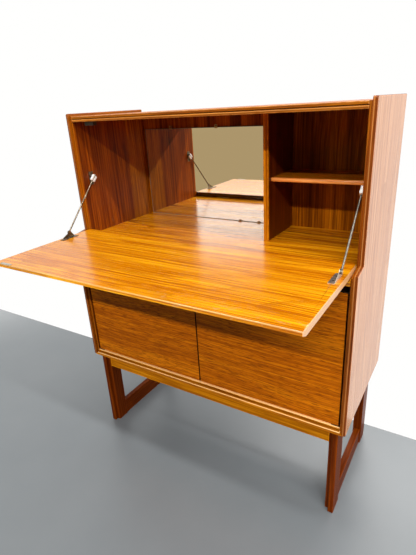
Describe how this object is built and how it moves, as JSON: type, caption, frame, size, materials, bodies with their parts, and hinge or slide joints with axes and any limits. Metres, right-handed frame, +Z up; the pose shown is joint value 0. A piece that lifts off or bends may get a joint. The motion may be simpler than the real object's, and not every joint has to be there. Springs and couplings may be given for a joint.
{
  "type": "bar cabinet with fold out shelf",
  "caption": "Free-standing bar cabinet on sled legs: a fall flap on sliding stays opens over a cupboard with two hinged doors, with a mirror, partition and shelf behind it.",
  "frame": {"origin": "on the floor, midway between the sides and midway between the folded-out flap's front edge and the back", "axes": "+X to the cabinet's right side as seen from the front, +Y to its back, +Z up"},
  "size_m": [0.915, 0.6985, 1.129],
  "materials": {
    "teak_side": "oiled veneer, grain upright, pale and dry on the outside",
    "teak_edge": "solid edging, oiled, rounded arrises",
    "teak_frame": "solid rails and posts, darker and redder, oiled",
    "teak_flap": "veneer, grain across, satin polish",
    "teak_door": "veneer, grain across, satin polish",
    "teak_inside": "veneer, satin",
    "back_board": "thin veneered board",
    "mirror_glass": "silvered sheet glass",
    "bright_steel": "bright plated",
    "zinc_steel": "dull zinc plated",
    "hinge_brass": "aged, satin",
    "white_nylon": "moulded, satin",
    "catch_plastic": "moulded, satin"
  },
  "bodies": {
    "cabinet": {"side_panel_right": "teak_side", "side_panel_left": "teak_side", "side_front_lipping_right": "teak_edge", "side_front_lipping_left": "teak_edge", "side_top_lipping_right": "teak_edge", "side_top_lipping_left": "teak_edge", "top_panel": "teak_inside", "top_rail": "teak_edge", "bar_deck": "teak_inside", "deck_lipping": "teak_edge", "recess_rail": "teak_inside", "bottom_panel": "teak_inside", "bottom_moulding": "teak_edge", "back_panel": "back_board", "partition": "teak_inside", "partition_lipping": "teak_edge", "bar_shelf": "teak_inside", "mirror": "mirror_glass", "mirror_clips": "bright_steel", "cupboard_shelf": "teak_inside", "cupboard_shelf_pegs": "hinge_brass", "leg_post_front_right": "teak_frame", "leg_post_rear_right": "teak_frame", "leg_post_front_left": "teak_frame", "leg_post_rear_left": "teak_frame", "leg_base_rail_right": "teak_frame", "leg_base_rail_left": "teak_frame", "leg_bearer_right": "teak_frame", "leg_bearer_left": "teak_frame", "apron_front": "teak_frame", "apron_rear": "teak_frame", "flap_hinge_deck_leaves": "hinge_brass", "flap_hinge_pins": "hinge_brass", "stay_plate_right": "zinc_steel", "stay_plate_left": "zinc_steel", "case_screws": "zinc_steel", "door_pivots": "zinc_steel", "door_catches": "catch_plastic", "flap_catch": "catch_plastic"},
    "flap": {"flap_panel": "teak_flap", "flap_lipping_front": "teak_edge", "flap_lipping_right": "teak_edge", "flap_lipping_left": "teak_edge", "flap_hinge_flap_leaves": "hinge_brass", "stay_bracket_right": "zinc_steel", "stay_bracket_left": "zinc_steel", "flap_screws": "zinc_steel", "flap_strike": "zinc_steel"},
    "rod_right": {"stay_rod_right": "bright_steel"},
    "rod_left": {"stay_rod_left": "bright_steel"},
    "block_right": {"stay_block_right": "white_nylon"},
    "block_left": {"stay_block_left": "white_nylon"},
    "right_door": {"door_right": "teak_door", "door_bushes_right": "white_nylon", "door_strike_right": "zinc_steel"},
    "left_door": {"door_left": "teak_door", "door_bushes_left": "white_nylon", "door_strike_left": "zinc_steel"}
  },
  "joints": [
    {"name": "flap_fold", "type": "hinge", "parent": "cabinet", "child": "flap", "pos_m": [0, 0.0075, 0.747], "axis": [-1, 0, 0], "range_deg": [0, 90]},
    {"name": "stay_right_swing", "type": "hinge", "parent": "flap", "child": "rod_right", "pos_m": [0.4295, -0.088, 0.78], "axis": [1, 0, 0], "range_deg": [0, 127.16]},
    {"name": "stay_left_swing", "type": "hinge", "parent": "flap", "child": "rod_left", "pos_m": [-0.4295, -0.088, 0.78], "axis": [1, 0, 0], "range_deg": [0, 127.16]},
    {"name": "stay_right_slide", "type": "slide", "parent": "rod_right", "child": "block_right", "axis": [0, -0.6793, -0.7339], "range_m": [0, 0.11585]},
    {"name": "stay_left_slide", "type": "slide", "parent": "rod_left", "child": "block_left", "axis": [0, -0.6793, -0.7339], "range_m": [0, 0.11585]},
    {"name": "right_door_swing", "type": "hinge", "parent": "cabinet", "child": "right_door", "pos_m": [0.4275, -0.03, 0.516], "axis": [0, 0, 1], "range_deg": [0, 95]},
    {"name": "left_door_swing", "type": "hinge", "parent": "cabinet", "child": "left_door", "pos_m": [-0.4275, -0.03, 0.516], "axis": [0, 0, -1], "range_deg": [0, 95]}
  ],
  "couplings": [
    {"joint": "stay_right_swing", "follows": "flap_fold", "ratio": 1.4124},
    {"joint": "stay_left_swing", "follows": "flap_fold", "ratio": 1.4124},
    {"joint": "stay_right_slide", "follows": "flap_fold", "m_per_rad": 0.073691},
    {"joint": "stay_left_slide", "follows": "flap_fold", "m_per_rad": 0.073691}
  ]
}
